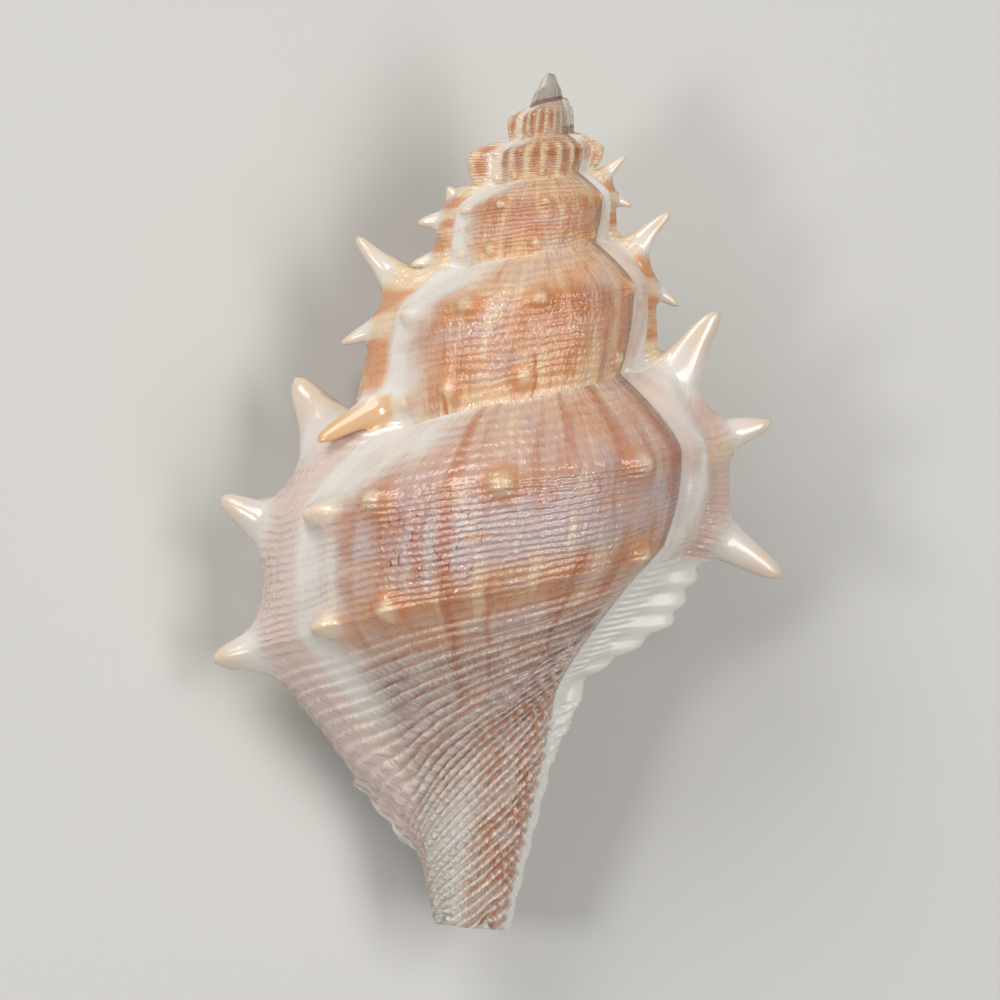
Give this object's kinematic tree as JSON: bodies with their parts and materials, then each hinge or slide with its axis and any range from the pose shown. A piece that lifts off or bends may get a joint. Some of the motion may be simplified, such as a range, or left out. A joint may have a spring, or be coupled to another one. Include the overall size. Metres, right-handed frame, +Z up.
{
  "type": "frog shell",
  "caption": "Spiny spiral sea snail shell with a tall spire, a rib of spines down each side, an open aperture and a short open canal, lying on its aperture.",
  "frame": {"origin": "on the ground, under the middle of the shell's box", "axes": "+Y along the shell towards the tip of the spire, +Z up from the ground out of the back of the shell, +X towards the older varix, away from the outer lip"},
  "size_m": [0.0452, 0.0698, 0.0282],
  "materials": {
    "shell": "natural glossy shell wall, cream and white with orange-brown bands, mauve-pink whorls and fine cords"
  },
  "bodies": {
    "root": {"shell": "shell"}
  },
  "joints": []
}
